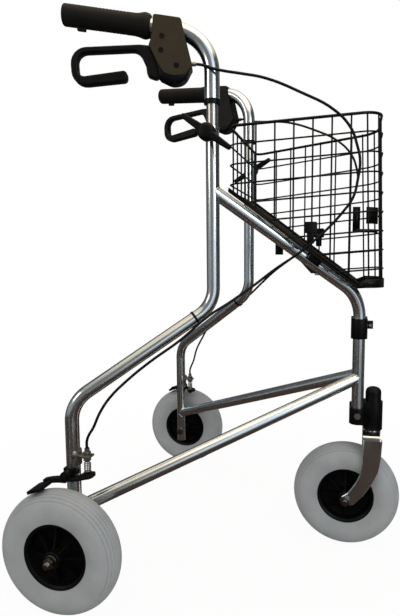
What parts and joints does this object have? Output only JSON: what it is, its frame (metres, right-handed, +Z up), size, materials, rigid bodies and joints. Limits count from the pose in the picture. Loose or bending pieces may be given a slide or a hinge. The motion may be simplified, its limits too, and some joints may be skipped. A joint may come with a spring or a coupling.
{
  "type": "three wheel rollator",
  "caption": "Folding walking aid with a swivelling front wheel, splayed side frames, loop brake levers on height-adjustable handles and a wire basket.",
  "frame": {"origin": "on the floor below the middle of the object's length and width, halfway between the front and rear axles", "axes": "+X points forward, towards the swivelling wheel, +Y to the user's left and +Z up"},
  "size_m": [0.6288, 0.686, 0.9543],
  "materials": {
    "chrome_tube": "bright plated steel tube",
    "brushed_post": "satin steel",
    "steel_fasteners": "zinc plated",
    "grey_tyre": "non-marking grey rubber",
    "black_plastic": "moulded, matte",
    "black_arm": "black coated steel",
    "cable_sheath": "smooth sheath",
    "grip_rubber": "soft moulded rubber",
    "housing_plastic": "moulded, matte",
    "basket_wire": "black plastic-coated wire"
  },
  "bodies": {
    "front_head": {"head_block": "black_plastic", "head_collar": "black_plastic", "head_bolts": "steel_fasteners", "caster_bearings": "steel_fasteners"},
    "caster": {"caster_stem": "steel_fasteners", "caster_fork": "chrome_tube", "front_axle": "steel_fasteners"},
    "front_wheel": {"front_tyre": "grey_tyre", "front_hub": "black_plastic"},
    "right_frame": {"right_main_tube": "chrome_tube", "right_front_tube": "chrome_tube", "right_lower_bar": "chrome_tube", "right_rear_axle": "steel_fasteners", "right_brake_bracket": "steel_fasteners", "right_cable_adjuster": "steel_fasteners", "right_brake_spring": "steel_fasteners", "right_brake_cable": "cable_sheath", "right_cable_tie": "cable_sheath"},
    "right_handle": {"right_handle_post": "brushed_post", "right_handle_ring": "black_plastic", "right_handle_tube": "chrome_tube", "right_grip": "grip_rubber", "right_brake_housing": "housing_plastic", "right_housing_fittings": "steel_fasteners"},
    "right_lever": {"right_brake_lever": "black_plastic"},
    "right_knob": {"right_wing_knob": "black_plastic", "right_knob_screw": "steel_fasteners"},
    "right_wheel": {"right_tyre": "grey_tyre", "right_hub": "black_plastic"},
    "right_brake": {"right_brake_arm": "black_arm"},
    "right_brace": {"right_brace_link": "black_arm"},
    "left_frame": {"left_main_tube": "chrome_tube", "left_front_tube": "chrome_tube", "left_lower_bar": "chrome_tube", "left_rear_axle": "steel_fasteners", "left_brake_bracket": "steel_fasteners", "left_cable_adjuster": "steel_fasteners", "left_brake_spring": "steel_fasteners", "left_brake_cable": "cable_sheath", "left_cable_tie": "cable_sheath"},
    "left_handle": {"left_handle_post": "brushed_post", "left_handle_ring": "black_plastic", "left_handle_tube": "chrome_tube", "left_grip": "grip_rubber", "left_brake_housing": "housing_plastic", "left_housing_fittings": "steel_fasteners"},
    "left_lever": {"left_brake_lever": "black_plastic"},
    "left_knob": {"left_wing_knob": "black_plastic", "left_knob_screw": "steel_fasteners"},
    "left_wheel": {"left_tyre": "grey_tyre", "left_hub": "black_plastic"},
    "left_brake": {"left_brake_arm": "black_arm"},
    "left_brace": {"left_brace_link": "black_arm"},
    "brace_plate_body": {"brace_plate": "black_plastic"},
    "basket": {"basket_right": "basket_wire", "basket_left": "basket_wire", "basket_front": "basket_wire", "basket_rear": "basket_wire", "basket_floor": "basket_wire", "basket_clips": "black_plastic"}
  },
  "joints": [
    {"name": "right_fold", "type": "hinge", "parent": "front_head", "child": "right_frame", "pos_m": [0.23337, -0.015, 0.35], "axis": [0, 0, -1], "range_deg": [0, 20], "deforming": ["right_brake_cable"]},
    {"name": "right_height", "type": "slide", "parent": "right_frame", "child": "right_handle", "axis": [0, 0, 1], "range_m": [-0.03, 0.09], "deforming": ["right_brake_cable"]},
    {"name": "right_squeeze", "type": "hinge", "parent": "right_handle", "child": "right_lever", "pos_m": [-0.08581, -0.1665, 0.881], "axis": [-0.2588, 0.9659, 0], "range_deg": [0, 8], "stiffness_Nm_per_rad": 3, "springref_deg": -2.86},
    {"name": "right_brake_press", "type": "hinge", "parent": "right_frame", "child": "right_brake", "pos_m": [-0.21437, -0.25709, 0.213], "axis": [0, -1, 0], "range_deg": [0, 3.8], "deforming": ["right_brake_spring"]},
    {"name": "right_knob_turn", "type": "hinge", "parent": "right_frame", "child": "right_knob", "pos_m": [-0.00853, -0.1458, 0.752], "axis": [0, -1, 0], "range_deg": [0, 360]},
    {"name": "right_wheel_spin", "type": "hinge", "parent": "right_frame", "child": "right_wheel", "pos_m": [-0.21437, -0.29999, 0.1], "axis": [0, 1, 0], "continuous": true},
    {"name": "right_brace_swing", "type": "hinge", "parent": "right_frame", "child": "right_brace", "pos_m": [0.15743, -0.03435, 0.528], "axis": [0, 0, 1], "range_deg": [0, 40]},
    {"name": "left_fold", "type": "hinge", "parent": "front_head", "child": "left_frame", "pos_m": [0.23337, 0.015, 0.35], "axis": [0, 0, 1], "range_deg": [0, 20], "deforming": ["left_brake_cable"]},
    {"name": "left_height", "type": "slide", "parent": "left_frame", "child": "left_handle", "axis": [0, 0, 1], "range_m": [-0.03, 0.09], "deforming": ["left_brake_cable"]},
    {"name": "left_squeeze", "type": "hinge", "parent": "left_handle", "child": "left_lever", "pos_m": [-0.08581, 0.1665, 0.881], "axis": [0.2588, 0.9659, 0], "range_deg": [0, 8], "stiffness_Nm_per_rad": 3, "springref_deg": -2.86},
    {"name": "left_brake_press", "type": "hinge", "parent": "left_frame", "child": "left_brake", "pos_m": [-0.21437, 0.25709, 0.213], "axis": [0, -1, 0], "range_deg": [0, 3.8], "deforming": ["left_brake_spring"]},
    {"name": "left_knob_turn", "type": "hinge", "parent": "left_frame", "child": "left_knob", "pos_m": [-0.00853, 0.1458, 0.752], "axis": [0, 1, 0], "range_deg": [0, 360]},
    {"name": "left_wheel_spin", "type": "hinge", "parent": "left_frame", "child": "left_wheel", "pos_m": [-0.21437, 0.29999, 0.1], "axis": [0, 1, 0], "continuous": true},
    {"name": "left_brace_swing", "type": "hinge", "parent": "left_frame", "child": "left_brace", "pos_m": [0.15743, 0.03435, 0.528], "axis": [0, 0, -1], "range_deg": [0, 40]},
    {"name": "plate_turn", "type": "hinge", "parent": "right_brace", "child": "brace_plate_body", "pos_m": [0.08149, -0.015, 0.588], "axis": [0, 0, -1], "range_deg": [0, 20]},
    {"name": "caster_swivel", "type": "hinge", "parent": "front_head", "child": "caster", "pos_m": [0.26237, 0, 0.25], "axis": [0, 0, 1], "continuous": true},
    {"name": "front_wheel_spin", "type": "hinge", "parent": "caster", "child": "front_wheel", "pos_m": [0.21437, 0, 0.1], "axis": [0, 1, 0], "continuous": true},
    {"name": "basket_lift", "type": "slide", "parent": "front_head", "child": "basket", "axis": [0, 0, 1], "range_m": [0, 0.12]}
  ],
  "couplings": [
    {"joint": "right_brake_press", "follows": "right_squeeze", "ratio": 0.475},
    {"joint": "right_brace_swing", "follows": "right_fold", "ratio": 2},
    {"joint": "left_brake_press", "follows": "left_squeeze", "ratio": 0.475},
    {"joint": "left_brace_swing", "follows": "right_fold", "ratio": 2},
    {"joint": "left_fold", "follows": "right_fold", "ratio": 1},
    {"joint": "plate_turn", "follows": "right_fold", "ratio": 1}
  ]
}
